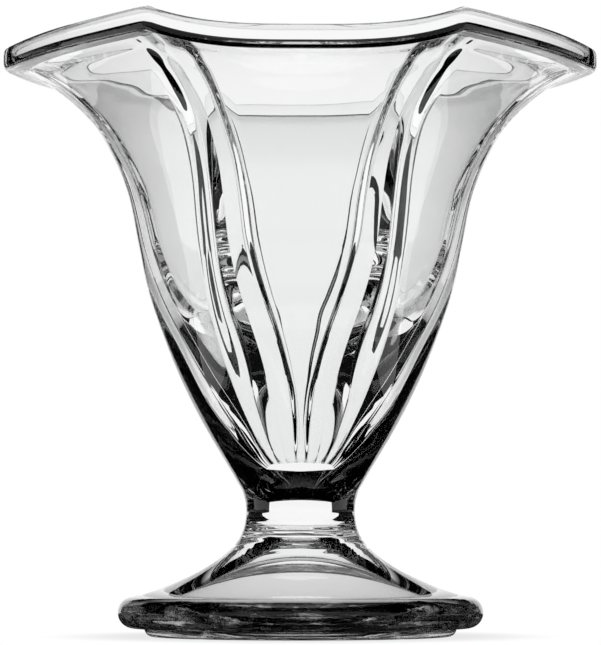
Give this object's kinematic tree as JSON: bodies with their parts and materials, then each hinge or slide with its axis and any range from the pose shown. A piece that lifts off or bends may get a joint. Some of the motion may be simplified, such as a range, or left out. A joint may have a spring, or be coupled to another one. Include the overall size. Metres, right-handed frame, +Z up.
{
  "type": "parfait glass",
  "caption": "Clear pressed-glass parfait dish: flared six-sided bowl with a banded lip and pointed panels between ribs on its inside, short waisted stem and round hollow foot.",
  "frame": {"origin": "centre of the foot's resting plane", "axes": "+Z up along the glass's axis, -Y the front side of the rim that dips, +X through a rib and a corner of the rim"},
  "size_m": [0.133, 0.1252, 0.131],
  "materials": {
    "glass": "clear, fire-polished"
  },
  "bodies": {
    "root": {"bowl": "glass", "stem": "glass", "foot": "glass"}
  },
  "joints": []
}
